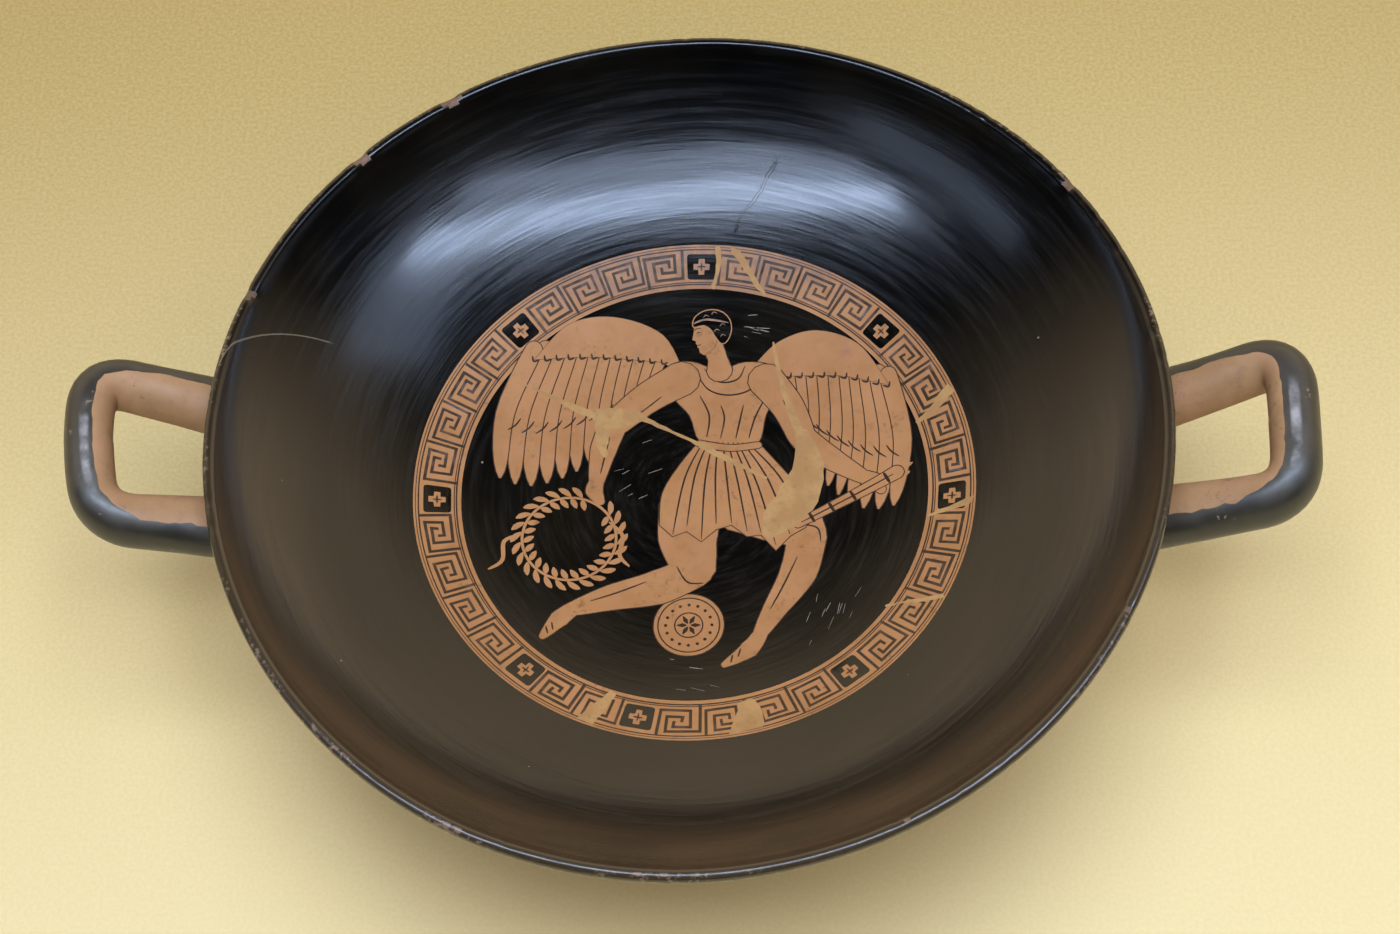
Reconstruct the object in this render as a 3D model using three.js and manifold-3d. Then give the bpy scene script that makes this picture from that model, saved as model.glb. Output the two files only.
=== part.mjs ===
// A Greek kylix: a shallow drinking cup of fired clay on a stemmed disc foot, with two horizontal loop
// handles. It was thrown and joined before firing, so it is one solid. Millimetres, +Z up, standing on
// z = 0 with the bowl's axis on Z and the handles along X.
import * as THREE from "three";
import { mergeVertices } from "three/addons/utils/BufferGeometryUtils.js";
import Module from "manifold-3d";

// Bowl: the wall is laid off to both sides of a middle line that runs from the lip to the axis.
const CUP_HEIGHT = 94; // table to the mean lip
const RIM_RADIUS = 118; // outermost edge of the lip
const LIP_HALF_WALL = 1.6;
const MIDDLE_RIM = RIM_RADIUS - LIP_HALF_WALL; // radius of the lip's centre, where the middle line ends
const FLOOR_HALF_WALL = 3;
const MIDDLE_DEPTH = 42.4; // of the middle line, from the centre of the lip down to the axis
const FLATNESS = 3; // a higher power flattens the floor
const LIP_STEEPNESS = 0.85; // a lower power steepens the last stretch below the lip
const RIM_WARP = 2; // the lip sagged in firing: higher at the handles, lower between them
const WARP_POWER = 4; // how fast the sag fades away from the lip

// Stem and foot.
const STEM_RADIUS = 9.5;
const STEM_TOP = 28; // the stem is straight from here down to STEM_BOTTOM
const STEM_BOTTOM = 22;
const BOWL_FILLET_RADIUS = 31; // where the bowl's underside turns down into the stem
const FOOT_RADIUS = 45.5;
const FOOT_EDGE_HEIGHT = 8;
const FOOT_FILLET_RADIUS = 26; // where the stem has turned out into the foot's upper side
const FOOT_FILLET_HEIGHT = 11.5;
const FOOT_TOP_RADIUS = 42; // where the foot's rounded edge meets its upper side
const FOOT_TOP_HEIGHT = 8.6;
const FOOT_EDGE_LIFT = 0.5; // how far above the table the edge's roundness begins
const REST_OUTER = 43; // the flat ring that the cup stands on
const REST_INNER = 37;

// Hollow under the foot: a low step behind the resting ring, then a round-topped cone.
const STEP_RADIUS = 35;
const STEP_HEIGHT = 3;
const CONE_RADIUS = 29;
const CONE_HEIGHT = 4; // of the cone's lower edge above the table
const CONE_WAIST_HEIGHT = 6; // the cone's side runs in level as far as this height, then up
const HOLLOW_TOP = 18;
const HOLLOW_TOP_RADIUS = 5.7; // how far out the top stays nearly level

// Handles: loops of round rod that leave the wall below the lip and rise outwards.
const HANDLE_START = 100; // distance from the axis where a loop's straight plane begins
const HIDDEN_LENGTH = 15; // the arms' run inwards from there, under the wall
const BEND_FROM = 10; // distance past HANDLE_START where that run starts to turn up into the wall
const ROOT_TAPER = 0.6; // share of the rod's height that it has lost at its hidden end
const ROD_HALF_WIDTH = 5.75; // in the loop's plane
const ROD_HALF_HEIGHT = 7;
const ROOT_FLARE = 0.6; // extra width of an arm at its root, as a share of the rod's
const CORNER_LENGTH = 9.4;
const HANDLES = [
  {
    turn: 0, // about the bowl's axis
    drop: 35.6, // of the loop's plane below the lip, at HANDLE_START
    tilt: 26.1, // of the loop's plane above the horizontal
    length: 53.6, // from HANDLE_START out to the corners
    rootHalf: 14.7, // half the distance between the arms' centres at HANDLE_START
    outerHalf: 19.1, // the same at the corners
    skew: 1, // one corner reaches this much further out, the other this much less
    bulge: 0.8, // of the outer bar's middle past the corners
  },
  {
    turn: 180,
    drop: 29.6,
    tilt: 19.4,
    length: 52.1,
    rootHalf: 15.3,
    outerHalf: 19.6,
    skew: -2.7,
    bulge: 2.1,
  },
];

// Fineness of the facets.
const TURN_SEGMENTS = 64;
const WALL_STEPS = 12;
const FILLET_STEPS = 4;
const LIP_STEPS = 4;
const ROD_SIDES = 12;
const ROD_STEPS = 44;
const MERGE_DISTANCE = 1e-3; // corners closer than this are one

const wasm = await Module();
wasm.setup();

// Height of the wall's middle line at a distance r from the axis.
function middleHeight(r) {
  const t = Math.min(r / MIDDLE_RIM, 1);
  return CUP_HEIGHT - LIP_HALF_WALL - MIDDLE_DEPTH * (1 - t ** FLATNESS) ** LIP_STEEPNESS;
}

// A point of the wall's face: side +1 is the inside of the bowl, -1 the outside, 0 the middle line.
function wallPoint(r, side) {
  const step = 0.01;
  const slope = (middleHeight(r) - middleHeight(r - step)) / step;
  const half = THREE.MathUtils.lerp(FLOOR_HALF_WALL, LIP_HALF_WALL, r / MIDDLE_RIM) * side;
  const normal = new THREE.Vector2(-slope, 1).normalize();
  return new THREE.Vector2(r, middleHeight(r)).addScaledVector(normal, half);
}

// Radii of the middle line from `start` to the lip, closer together where the wall curves most.
function wallRadii(start) {
  const from = Math.asin(start / MIDDLE_RIM);
  return Array.from({ length: WALL_STEPS + 1 }, (_, i) => {
    return MIDDLE_RIM * Math.sin(THREE.MathUtils.lerp(from, Math.PI / 2, i / WALL_STEPS));
  });
}

// The rounded lip, from its outer side over the top to its inner side.
function lipPoints() {
  const outer = wallPoint(MIDDLE_RIM, -1);
  const centre = new THREE.Vector2(MIDDLE_RIM, CUP_HEIGHT - LIP_HALF_WALL);
  const points = [];
  for (let i = 1; i < LIP_STEPS; i++) {
    points.push(outer.clone().rotateAround(centre, (Math.PI * i) / LIP_STEPS));
  }
  return points;
}

// The foot's hollow underside, resting ring, rounded edge and upper side, then the stem up to the bowl.
function footAndStemPoints() {
  const bowlStart = wallPoint(BOWL_FILLET_RADIUS, -1);
  const path = new THREE.Path();
  path.moveTo(0, HOLLOW_TOP);
  path.bezierCurveTo(
    HOLLOW_TOP_RADIUS, HOLLOW_TOP,
    STEM_RADIUS, CONE_WAIST_HEIGHT,
    CONE_RADIUS, CONE_HEIGHT,
  );
  path.quadraticCurveTo(STEP_RADIUS, STEP_HEIGHT, REST_INNER, 0);
  path.lineTo(REST_OUTER, 0);
  path.quadraticCurveTo(FOOT_RADIUS, FOOT_EDGE_LIFT, FOOT_RADIUS, FOOT_EDGE_HEIGHT / 2);
  path.quadraticCurveTo(FOOT_RADIUS, FOOT_EDGE_HEIGHT, FOOT_TOP_RADIUS, FOOT_TOP_HEIGHT);
  path.lineTo(FOOT_FILLET_RADIUS, FOOT_FILLET_HEIGHT);
  const points = path.getPoints(FILLET_STEPS);
  const lower = new THREE.EllipseCurve(
    FOOT_FILLET_RADIUS, STEM_BOTTOM,
    FOOT_FILLET_RADIUS - STEM_RADIUS, STEM_BOTTOM - FOOT_FILLET_HEIGHT,
    -Math.PI / 2, -Math.PI, true,
  );
  const upper = new THREE.EllipseCurve(
    bowlStart.x, STEM_TOP,
    bowlStart.x - STEM_RADIUS, bowlStart.y - STEM_TOP,
    Math.PI, Math.PI / 2, true,
  );
  points.push(...lower.getPoints(FILLET_STEPS).slice(1));
  points.push(...upper.getPoints(FILLET_STEPS).slice(0, -1));
  return points;
}

// The whole section of the turned body, from the axis under the stem round to the axis in the bowl.
function bodyPoints() {
  const outside = wallRadii(BOWL_FILLET_RADIUS).map((r) => wallPoint(r, -1));
  const inside = wallRadii(0).map((r) => wallPoint(r, 1)).reverse();
  inside[inside.length - 1].x = 0;
  return [...footAndStemPoints(), ...outside, ...lipPoints(), ...inside];
}

// The space above the wall's middle line, which trims what a handle would push into the bowl.
function bowlSpacePoints() {
  const above = CUP_HEIGHT + ROD_HALF_HEIGHT;
  const line = wallRadii(0).map((r) => wallPoint(r, 0));
  return [...line, new THREE.Vector2(MIDDLE_RIM, above), new THREE.Vector2(0, above)];
}

// Turns a section about Z.
function turned(points) {
  return new THREE.LatheGeometry(points, TURN_SEGMENTS).rotateX(Math.PI / 2);
}

// Moves every vertex by a function that changes a Vector3 in place.
function reshape(geometry, move) {
  const position = geometry.attributes.position;
  const point = new THREE.Vector3();
  for (let i = 0; i < position.count; i++) {
    move(point.fromBufferAttribute(position, i));
    position.setXYZ(i, point.x, point.y, point.z);
  }
  return geometry;
}

// The sag of the lip fades towards the floor and leaves the stem and foot true.
function sagRim(point) {
  if (point.z < STEM_TOP) return;
  const r = Math.hypot(point.x, point.y);
  const angle = Math.atan2(point.y, point.x);
  point.z += RIM_WARP * (r / RIM_RADIUS) ** WARP_POWER * Math.cos(2 * angle);
}

// A closed geometry as a manifold-3d solid: equal vertices are merged and collapsed triangles dropped.
function toSolid(geometry) {
  const bare = geometry.clone();
  bare.deleteAttribute("normal");
  bare.deleteAttribute("uv");
  const merged = mergeVertices(bare, MERGE_DISTANCE);
  const index = merged.index.array;
  const corners = [];
  for (let i = 0; i < index.length; i += 3) {
    const [a, b, c] = index.slice(i, i + 3);
    if (a !== b && b !== c && c !== a) corners.push(a, b, c);
  }
  const vertProperties = merged.attributes.position.array;
  const triVerts = new Uint32Array(corners);
  return new wasm.Manifold(new wasm.Mesh({ numProp: 3, vertProperties, triVerts }));
}

// Half the distance between the two arms' centres, at a distance u along the loop from HANDLE_START.
function armHalf(handle, u) {
  return THREE.MathUtils.lerp(handle.rootHalf, handle.outerHalf, u / handle.length);
}

// The loop's centre line, lying flat in XY: arm, rounded corner, bowed outer bar, and back.
function loopPath(handle) {
  const at = (u, y) => new THREE.Vector3(u, y, 0);
  const tip = at(handle.length + handle.bulge, 0);
  const ends = [-1, 1].map((way) => ({
    root: at(-HIDDEN_LENGTH, way * armHalf(handle, -HIDDEN_LENGTH)),
    corner: at(handle.length + way * handle.skew, way * handle.outerHalf),
  }));
  const path = new THREE.CurvePath();
  const [near, far] = ends.map(({ root, corner }) => ({
    root,
    corner,
    before: corner.clone().lerp(root, CORNER_LENGTH / corner.distanceTo(root)),
    after: corner.clone().lerp(tip, CORNER_LENGTH / corner.distanceTo(tip)),
  }));
  path.add(new THREE.LineCurve3(near.root, near.before));
  path.add(new THREE.QuadraticBezierCurve3(near.before, near.corner, near.after));
  path.add(new THREE.QuadraticBezierCurve3(near.after, tip, far.after));
  path.add(new THREE.QuadraticBezierCurve3(far.after, far.corner, far.before));
  path.add(new THREE.LineCurve3(far.before, far.root));
  return path;
}

// One handle: the rod swept along its flat loop, flared at the roots, then tilted up into place.
function handleGeometry(handle) {
  const section = new THREE.Shape();
  section.absellipse(0, 0, ROD_HALF_HEIGHT, ROD_HALF_WIDTH, 0, 2 * Math.PI);
  const rod = new THREE.ExtrudeGeometry(section, {
    extrudePath: loopPath(handle),
    steps: ROD_STEPS,
    curveSegments: ROD_SIDES / 2,
  });
  const tilt = THREE.MathUtils.degToRad(handle.tilt);
  const rootX = HANDLE_START - HIDDEN_LENGTH * Math.cos(tilt);
  const rootZ = CUP_HEIGHT - handle.drop - HIDDEN_LENGTH * Math.sin(tilt);
  const rise = middleHeight(Math.hypot(rootX, handle.rootHalf)) - rootZ;
  reshape(rod, (point) => {
    const arm = Math.sign(point.y) * armHalf(handle, point.x);
    const flare = ROOT_FLARE * THREE.MathUtils.clamp(1 - point.x / handle.length, 0, 1);
    point.y += flare * (point.y - arm);
    const bend = (Math.max(0, BEND_FROM - point.x) / (BEND_FROM + HIDDEN_LENGTH)) ** 2;
    const x = point.x;
    const z = point.z * (1 - ROOT_TAPER * bend);
    point.x = HANDLE_START + x * Math.cos(tilt) - z * Math.sin(tilt);
    point.z = CUP_HEIGHT - handle.drop + x * Math.sin(tilt) + z * Math.cos(tilt) + rise * bend;
  });
  return rod.rotateZ(THREE.MathUtils.degToRad(handle.turn));
}

function cupGeometry() {
  const bowlSpace = toSolid(turned(bowlSpacePoints()));
  let cup = toSolid(reshape(turned(bodyPoints()), sagRim));
  for (const handle of HANDLES) {
    cup = cup.add(toSolid(handleGeometry(handle)).subtract(bowlSpace));
  }
  const { vertProperties, triVerts } = cup.getMesh();
  const geometry = new THREE.BufferGeometry();
  geometry.setAttribute("position", new THREE.BufferAttribute(vertProperties, 3));
  geometry.setIndex(new THREE.BufferAttribute(triVerts, 1));
  geometry.computeVertexNormals();
  return geometry;
}

const blackGloss = new THREE.MeshStandardMaterial({ color: 0x2b2622, roughness: 0.32, metalness: 0 });
const cup = new THREE.Mesh(cupGeometry(), blackGloss);
cup.name = "kylix_cup";

const kylix = new THREE.Group();
kylix.add(cup);

export default kylix;
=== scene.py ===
"""The kylix's looks: black gloss, reserved clay and a red-figure picture, on a pale floor in soft light.

Lengths are millimetres of the cup, in the frame's axes, until a mesh is built from them.
"""

import math
import random

import bpy
from mathutils import Matrix, Vector, noise
from mathutils.geometry import delaunay_2d_cdt, interpolate_bezier


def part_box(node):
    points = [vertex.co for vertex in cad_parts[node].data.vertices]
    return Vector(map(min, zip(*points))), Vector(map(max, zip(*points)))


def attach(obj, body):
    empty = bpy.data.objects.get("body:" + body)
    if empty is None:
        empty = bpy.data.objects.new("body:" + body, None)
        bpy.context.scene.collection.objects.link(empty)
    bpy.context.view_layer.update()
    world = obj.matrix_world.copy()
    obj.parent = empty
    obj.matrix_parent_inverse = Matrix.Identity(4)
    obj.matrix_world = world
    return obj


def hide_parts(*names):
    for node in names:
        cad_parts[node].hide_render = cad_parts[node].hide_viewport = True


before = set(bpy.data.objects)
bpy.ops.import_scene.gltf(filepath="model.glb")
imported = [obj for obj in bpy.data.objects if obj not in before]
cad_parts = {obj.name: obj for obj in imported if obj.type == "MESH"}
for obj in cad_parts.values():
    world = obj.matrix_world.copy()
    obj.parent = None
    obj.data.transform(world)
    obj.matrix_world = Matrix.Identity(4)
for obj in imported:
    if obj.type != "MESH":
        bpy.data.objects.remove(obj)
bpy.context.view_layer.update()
cad_low, cad_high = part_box("kylix_cup")

# Bowl, stem and foot, as the frame has them.
CUP_HEIGHT = 94
RIM_RADIUS = 118
LIP_HALF_WALL = 1.6
MIDDLE_RIM = RIM_RADIUS - LIP_HALF_WALL
FLOOR_HALF_WALL = 3
MIDDLE_DEPTH = 42.4
FLATNESS = 3
LIP_STEEPNESS = 0.85
RIM_WARP = 2
WARP_POWER = 4
STEM_RADIUS = 9.5
STEM_TOP = 28
STEM_BOTTOM = 22
BOWL_FILLET_RADIUS = 31
FOOT_RADIUS = 45.5
FOOT_EDGE_HEIGHT = 8
FOOT_FILLET_RADIUS = 26
FOOT_FILLET_HEIGHT = 11.5
FOOT_TOP_RADIUS = 42
FOOT_TOP_HEIGHT = 8.6
FOOT_EDGE_LIFT = 0.5
REST_OUTER = 43
REST_INNER = 37
STEP_RADIUS = 35
STEP_HEIGHT = 3
CONE_RADIUS = 29
CONE_HEIGHT = 4
CONE_WAIST_HEIGHT = 6
HOLLOW_TOP = 18
HOLLOW_TOP_RADIUS = 5.7

# Handles, as the frame has them.
HANDLE_START = 100
HIDDEN_LENGTH = 15
BEND_FROM = 10
ROOT_TAPER = 0.6
ROD_HALF_WIDTH = 5.75
ROD_HALF_HEIGHT = 7
ROOT_FLARE = 0.6
CORNER_LENGTH = 9.4
HANDLES = [
    dict(turn=0, drop=35.6, tilt=26.1, length=53.6, root=14.7, outer=19.1, skew=1, bulge=0.8),
    dict(turn=180, drop=29.6, tilt=19.4, length=52.1, root=15.3, outer=19.6, skew=-2.7, bulge=2.1),
]

# The rods' skin at the wall.
CLOSE_FROM = 5  # distance inwards of HANDLE_START where it starts to fold into the wall
ROOT_SWELL = 0.3  # what the rod gains there, as a share of its thickness
SWELL_REACH = 7  # distance from the wall where it starts to swell
SKIN_STOP = 0.4  # the skin ends this far below the wall's middle face
SKIN_WAVER = 0.02  # its unevenness, as a share of the rod's thickness
SKIN_WAVES = 0.09  # waves of it in a millimetre
BAR_STEPS = 20  # points of each curve at the loop's corners and outer bar

# The picture's round field and its border of keys and crosses.
PICTURE_EDGE = 74
BAND_OUTER = 71.9
BAND_INNER = 60.0
BORDER_LINES = [(71.3, 0.2), (70.6, 0.36), (61.75, 0.26), (61.2, 0.4)]
CROSS_ANGLES = [-4.5, 41.9, 88.9, 134.8, 183.1, 231.5, 259.0, 306.4]
CROSS_CELL = 7.5  # degrees
CROSS_RADIUS = 66.0
KEY_PITCH = 10  # degrees, of a pair of keys before the pairs are fitted between two crosses
KEY_SPAN = (0.06, 0.94)  # where a pair starts and ends in its pitch
RING_SIDES = 240

# Plain reserved lines round the outside, and the bare panels behind the handles.
OUTER_LINES = [(52.0, 52.9), (54.4, 55.3)]
PANEL_HALF_WIDTH = 10
PANEL_INNER = 92
PANEL_OUTER = 112

# Chips in the lip: angle about the axis, width and depth.
CHIPS = [(33.7, 3.0, 0.7), (123, 4.5, 1.0), (137.4, 4.0, 1.1),
         (161.7, 3.2, 0.8), (-28, 2.5, 0.6), (-64, 3, 0.5)]
SMALL_CHIPS = 46
CHIP_REACH = 2.4  # how far down the lip a chip fades out
BARE_CHIP = 0.7  # depths of a face's two corners, summed, from which it shows clay
CHIP_PULL = 0.8  # share of a chip's depth by which the lip's points move in

# A fine curved scratch inside the bowl: the arc's centre and radius in the plan, and for X, Y and Z
# where it starts to show and where it shows whole.
SCRATCH_CENTRE = (-92.6, 8.9)
SCRATCH_RADIUS = 24.2
SCRATCH_ENDS = [(-92, -94), (14, 16), (66, 67)]

# The slow unevenness of a hand-made surface.
UNEVEN_SPAN = 26
UNEVEN_DEPTH = 0.14

# Fineness.
AROUND = 480
WALL_STEPS = 32
FILLET_STEPS = 6
LIP_STEPS = 8

random.seed(7)


# ---- the turned body's section

def lerp(a, b, t):
    return a + (b - a) * t


def middle_height(r):
    t = min(r / MIDDLE_RIM, 1)
    return CUP_HEIGHT - LIP_HALF_WALL - MIDDLE_DEPTH * (1 - t ** FLATNESS) ** LIP_STEEPNESS


def wall_slope(r, step=0.01):
    return (middle_height(r) - middle_height(r - step)) / step


def wall_point(r, side):
    """A point (r, z) of the wall: side 1 is the inside of the bowl, -1 the outside."""
    half = lerp(FLOOR_HALF_WALL, LIP_HALF_WALL, r / MIDDLE_RIM) * side
    return Vector((r, middle_height(r))) + Vector((-wall_slope(r), 1)).normalized() * half


def wall_radii(start, end, steps):
    first, last = math.asin(start / MIDDLE_RIM), math.asin(end / MIDDLE_RIM)
    return [MIDDLE_RIM * math.sin(lerp(first, last, i / steps)) for i in range(steps + 1)]


UNIT = (cad_high.y - cad_low.y) / 2 / wall_point(MIDDLE_RIM, -1).x  # metres in a millimetre


def bezier(start, bend, end, steps=FILLET_STEPS):
    """Points after `start` on the quadratic curve to `end`."""
    start, bend, end = Vector(start), Vector(bend), Vector(end)
    handles = (start.lerp(bend, 2 / 3), end.lerp(bend, 2 / 3))
    return interpolate_bezier(start, handles[0], handles[1], end, steps + 1)[1:]


def ellipse(centre, radii, start, end, steps=FILLET_STEPS):
    turns = [math.radians(lerp(start, end, i / steps)) for i in range(steps + 1)]
    return [Vector((centre[0] + radii[0] * math.cos(a), centre[1] + radii[1] * math.sin(a))) for a in turns]


def foot_and_stem():
    """Strips of the section as (points, slot), from the axis under the stem up to the bowl."""
    bowl = wall_point(BOWL_FILLET_RADIUS, -1)
    edge_end = (FOOT_RADIUS, FOOT_EDGE_HEIGHT / 2)
    brow_end = Vector((FOOT_TOP_RADIUS, FOOT_TOP_HEIGHT))
    top_end = Vector((FOOT_FILLET_RADIUS, FOOT_FILLET_HEIGHT))
    cone = interpolate_bezier(
        Vector((0, HOLLOW_TOP)), Vector((HOLLOW_TOP_RADIUS, HOLLOW_TOP)),
        Vector((STEM_RADIUS, CONE_WAIST_HEIGHT)), Vector((CONE_RADIUS, CONE_HEIGHT)), 2 * FILLET_STEPS)
    step = bezier((CONE_RADIUS, CONE_HEIGHT), (STEP_RADIUS, STEP_HEIGHT), (REST_INNER, 0))
    rest = [Vector((lerp(REST_INNER, REST_OUTER, t), 0)) for t in (0.1, 0.5, 0.9, 1)]
    edge = bezier((REST_OUTER, 0), (FOOT_RADIUS, FOOT_EDGE_LIFT), edge_end)
    brow = bezier(edge_end, (FOOT_RADIUS, FOOT_EDGE_HEIGHT), brow_end)
    top = [brow_end.lerp(top_end, t) for t in (0.1, 0.3, 0.5, 0.7, 0.9)]
    stem = ellipse((FOOT_FILLET_RADIUS, STEM_BOTTOM),
                   (FOOT_FILLET_RADIUS - STEM_RADIUS, STEM_BOTTOM - FOOT_FILLET_HEIGHT), -90, -180)
    stem += ellipse((bowl.x, STEM_TOP), (bowl.x - STEM_RADIUS, bowl.y - STEM_TOP), 180, 90)[:-1]
    return [(cone, "gloss"), (step + rest + edge, "clay"), (brow + top + stem, "gloss")]


def body_section():
    """The section from the axis under the stem to the picture's edge inside the bowl. Each point
    comes with the slot of the strip that leads to it."""
    radii = wall_radii(BOWL_FILLET_RADIUS, MIDDLE_RIM, WALL_STEPS)
    radii = sorted(radii + [r for line in OUTER_LINES for r in line])
    outside = [wall_point(r, -1) for r in radii]
    inside = [wall_point(r, 1) for r in wall_radii(PICTURE_EDGE, MIDDLE_RIM, WALL_STEPS // 2)][::-1]
    centre = Vector((MIDDLE_RIM, CUP_HEIGHT - LIP_HALF_WALL))
    lip = [centre + Matrix.Rotation(math.pi * i / LIP_STEPS, 2) @ (outside[-1] - centre)
           for i in range(1, LIP_STEPS)]
    inside[-1] = Vector((PICTURE_EDGE, floor_height(PICTURE_EDGE)))
    section = [(point, slot) for points, slot in foot_and_stem() for point in points]
    for r, point in zip(radii, outside):
        reserved = any(low < r <= high for low, high in OUTER_LINES)
        section.append((point, "clay" if reserved else "gloss"))
    return section + [(point, "gloss") for point in lip + inside]


# ---- the bowl's inner face over a plan

def floor_height(r):
    """Height of the bowl's inner face at a distance r from the axis, found by closing in on it."""
    guess = r
    for _ in range(12):
        guess += r - wall_point(guess, 1).x
    return wall_point(guess, 1).y


def sag(x, y, z):
    """The lip's sag, none at the stem and foot."""
    if z < STEM_TOP:
        return z
    r = math.hypot(x, y)
    return z + RIM_WARP * (r / RIM_RADIUS) ** WARP_POWER * math.cos(2 * math.atan2(y, x))


# ---- drawing helpers, in the plan of the bowl

def polar(radius, degrees):
    angle = math.radians(degrees)
    return Vector((radius * math.cos(angle), radius * math.sin(angle)))


def disc(centre, radius, count=96):
    return [Vector(centre) + polar(radius, 360 * i / count) for i in range(count)]


def smooth(points, steps=6, closed=False):
    """Catmull-Rom curve through the points."""
    points = [Vector(p) for p in points]
    around = [points[-1], *points, *points[:2]] if closed else [points[0], *points, points[-1]]
    result = []
    for a, b, c, d in zip(around, around[1:], around[2:], around[3:]):
        for k in range(steps):
            t = k / steps
            result.append(0.5 * (2 * b + (c - a) * t + (2 * a - 5 * b + 4 * c - d) * t * t
                                 + (3 * b - a - 3 * c + d) * t ** 3))
    return result if closed else result + [points[-1]]


def sides(line, widths):
    """Left and right offsets of a line by a half width at each of its points."""
    left, right = [], []
    for point, before, after, half in zip(line, line[:1] + line, line[1:] + line[-1:], widths):
        across = (after - before).orthogonal().normalized() * half
        left.append(point + across)
        right.append(point - across)
    return left, right


def spread(values, count):
    """Values eased out over a longer list."""
    result = []
    for i in range(count):
        place = i / (count - 1) * (len(values) - 1)
        k = min(int(place), len(values) - 2)
        result.append(lerp(values[k], values[k + 1], place - k))
    return result


def cap(end, before, half, steps=6):
    """Points of a round end, from the left side to the right."""
    if half < 0.3:
        return []
    ahead = (end - before).normalized()
    return [end + Matrix.Rotation(math.pi * (0.5 - i / steps), 2) @ ahead * half for i in range(1, steps)]


def limb(points, widths, steps=6):
    """A closed outline with round ends along a curve whose half width changes."""
    line = smooth(points, steps)
    left, right = sides(line, spread(widths, len(line)))
    front = cap(line[-1], line[-2], widths[-1])
    back = cap(line[0], line[1], widths[0])
    return left + front + right[::-1] + back


def brush(points, width, steps=6):
    """A thin stroke that swells from a point and thins out again."""
    line = smooth(points, steps)
    count = len(line)
    halves = [width / 2 * max(0.25, math.sin(math.pi * (i + 0.5) / count) ** 0.5) for i in range(count)]
    left, right = sides(line, halves)
    return left + right[::-1]


def strokes(width, *lines, kind="line"):
    """Brush strokes of one width and slot."""
    return [(brush(line, width), kind) for line in lines]


def bar(points, width):
    """A line of even width with square corners."""
    left, right = [], []
    steps = [(b - a).normalized() for a, b in zip(points, points[1:])]
    for point, before, after in zip(points, steps[:1] + steps, steps + steps[-1:]):
        across = (before + after).normalized().orthogonal()
        reach = width / 2 / max(0.5, across.dot(after.orthogonal()))
        left.append(point + across * reach)
        right.append(point - across * reach)
    return left + right[::-1]


def counter_clockwise(outline):
    area = sum(a.x * b.y - b.x * a.y for a, b in zip(outline, outline[1:] + outline[:1]))
    return outline if area > 0 else outline[::-1]


def grown(outline, by):
    """An outline moved outwards by a small distance."""
    outline = counter_clockwise(outline)
    result = []
    for before, point, after in zip(outline[-1:] + outline, outline, outline[1:] + outline[:1]):
        result.append(point - (after - before).orthogonal().normalized() * by)
    return result


def inked(*outlines, line=0.28):
    """Clay shapes that run together inside one thin line."""
    outlines = [[Vector(p) for p in outline] for outline in outlines]
    return [(grown(o, line), "line") for o in outlines] + [(o, "clay") for o in outlines]


def along(line, share):
    """The point at a share of a line's length."""
    lengths = [(b - a).length for a, b in zip(line, line[1:])]
    want = share * sum(lengths)
    for a, b, length in zip(line, line[1:], lengths):
        if want <= length:
            return a.lerp(b, want / length)
        want -= length
    return line[-1].copy()


# ---- the border

def key_strokes(start, end):
    """Two hooked spirals that interlock between two angles of the border."""
    low, high = 61.4, 70.4
    across = [0, 0.2, 0.37, 0.57, 0.77, 1]
    up = [63.0, 64.9, 66.3, 67.8, 69.3]
    turn_shake, radius_shake = 0.13, 0.1

    def at(i, radius):
        shake = random.uniform(-turn_shake, turn_shake)
        radius += random.uniform(-radius_shake, radius_shake)
        return polar(radius, lerp(start, end, across[i]) + shake)

    outer_hook = [at(0, high), at(0, up[0]), at(4, up[0]), at(4, up[3]), at(2, up[3]), at(2, up[2] - 0.3)]
    inner_hook = [at(5, low), at(5, up[4]), at(1, up[4]), at(1, up[1]), at(3, up[1]), at(3, up[2] + 0.2)]
    width = random.uniform(0.72, 0.86)
    return [bar(outer_hook, width), bar(inner_hook, width)]


def cross_cell(angle):
    """A dark square with a reserved cross, itself marked with two thin strokes."""
    shake = random.uniform(-0.3, 0.3)

    def at(u, v):
        return polar(CROSS_RADIUS + v, angle + math.degrees(u / CROSS_RADIUS) + shake)

    half_u, half_v, rounding = 3.85, 3.45, 0.8
    square = []
    for su, sv, first in ((1, 1, 0), (-1, 1, 90), (-1, -1, 180), (1, -1, 270)):
        for i in range(5):
            corner = polar(rounding, first + 22.5 * i)
            square.append(at(su * (half_u - rounding) + corner.x, sv * (half_v - rounding) + corner.y))
    arm, half = 2.15, 0.85
    cross = []
    for quarter in range(4):
        spin = Matrix.Rotation(math.radians(90 * quarter), 2)
        for point in ((half, half), (half * 0.9, arm), (-half * 0.9, arm)):
            cross.append(at(*(spin @ Vector(point))))
    marks = strokes(0.5, [at(-1.1, 0), at(0, 0.05), at(1.15, 0)])
    marks += strokes(0.4, [at(0, -1.2), at(0.05, 0), at(0, 1.1)])
    return [(square, "gloss"), (cross, "clay")] + marks


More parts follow.
